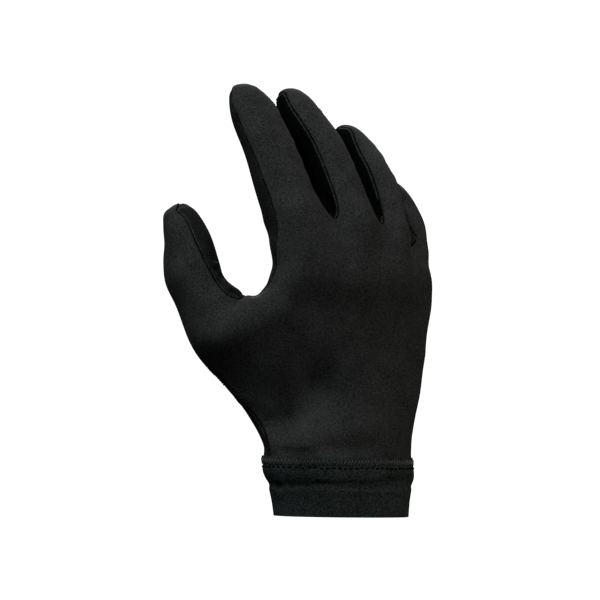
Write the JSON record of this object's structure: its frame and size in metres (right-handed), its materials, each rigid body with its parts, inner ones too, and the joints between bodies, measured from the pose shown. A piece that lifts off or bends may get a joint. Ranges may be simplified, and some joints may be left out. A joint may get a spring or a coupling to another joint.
{
  "type": "sports glove",
  "caption": "Thin stretch-knit running glove for the right hand, in its worn shape, with fourchettes between the fingers and an elastic cuff.",
  "frame": {"origin": "middle of the wrist opening, on the plane of the cuff's hem", "axes": "+Z from the wrist to the fingertips, -Y to the back of the hand, -X to the thumb side"},
  "size_m": [0.1373, 0.0847, 0.204],
  "materials": {
    "brushed_knit": "brushed matte polyester-elastane knit, near black",
    "palm_knit": "brushed matte polyester-elastane knit, near black",
    "fourchette_knit": "matte stretch knit, near black",
    "elastic_rib": "double layer of matte elastic knit, near black",
    "seam_thread": "folded knit edge under zigzag stitches, near black"
  },
  "bodies": {
    "root": {"back_panel": "brushed_knit", "palm_panel": "palm_knit", "fourchette_index_middle": "fourchette_knit", "fourchette_middle_ring": "fourchette_knit", "fourchette_ring_little": "fourchette_knit", "cuff_band": "elastic_rib", "cuff_seam": "seam_thread"}
  },
  "joints": []
}
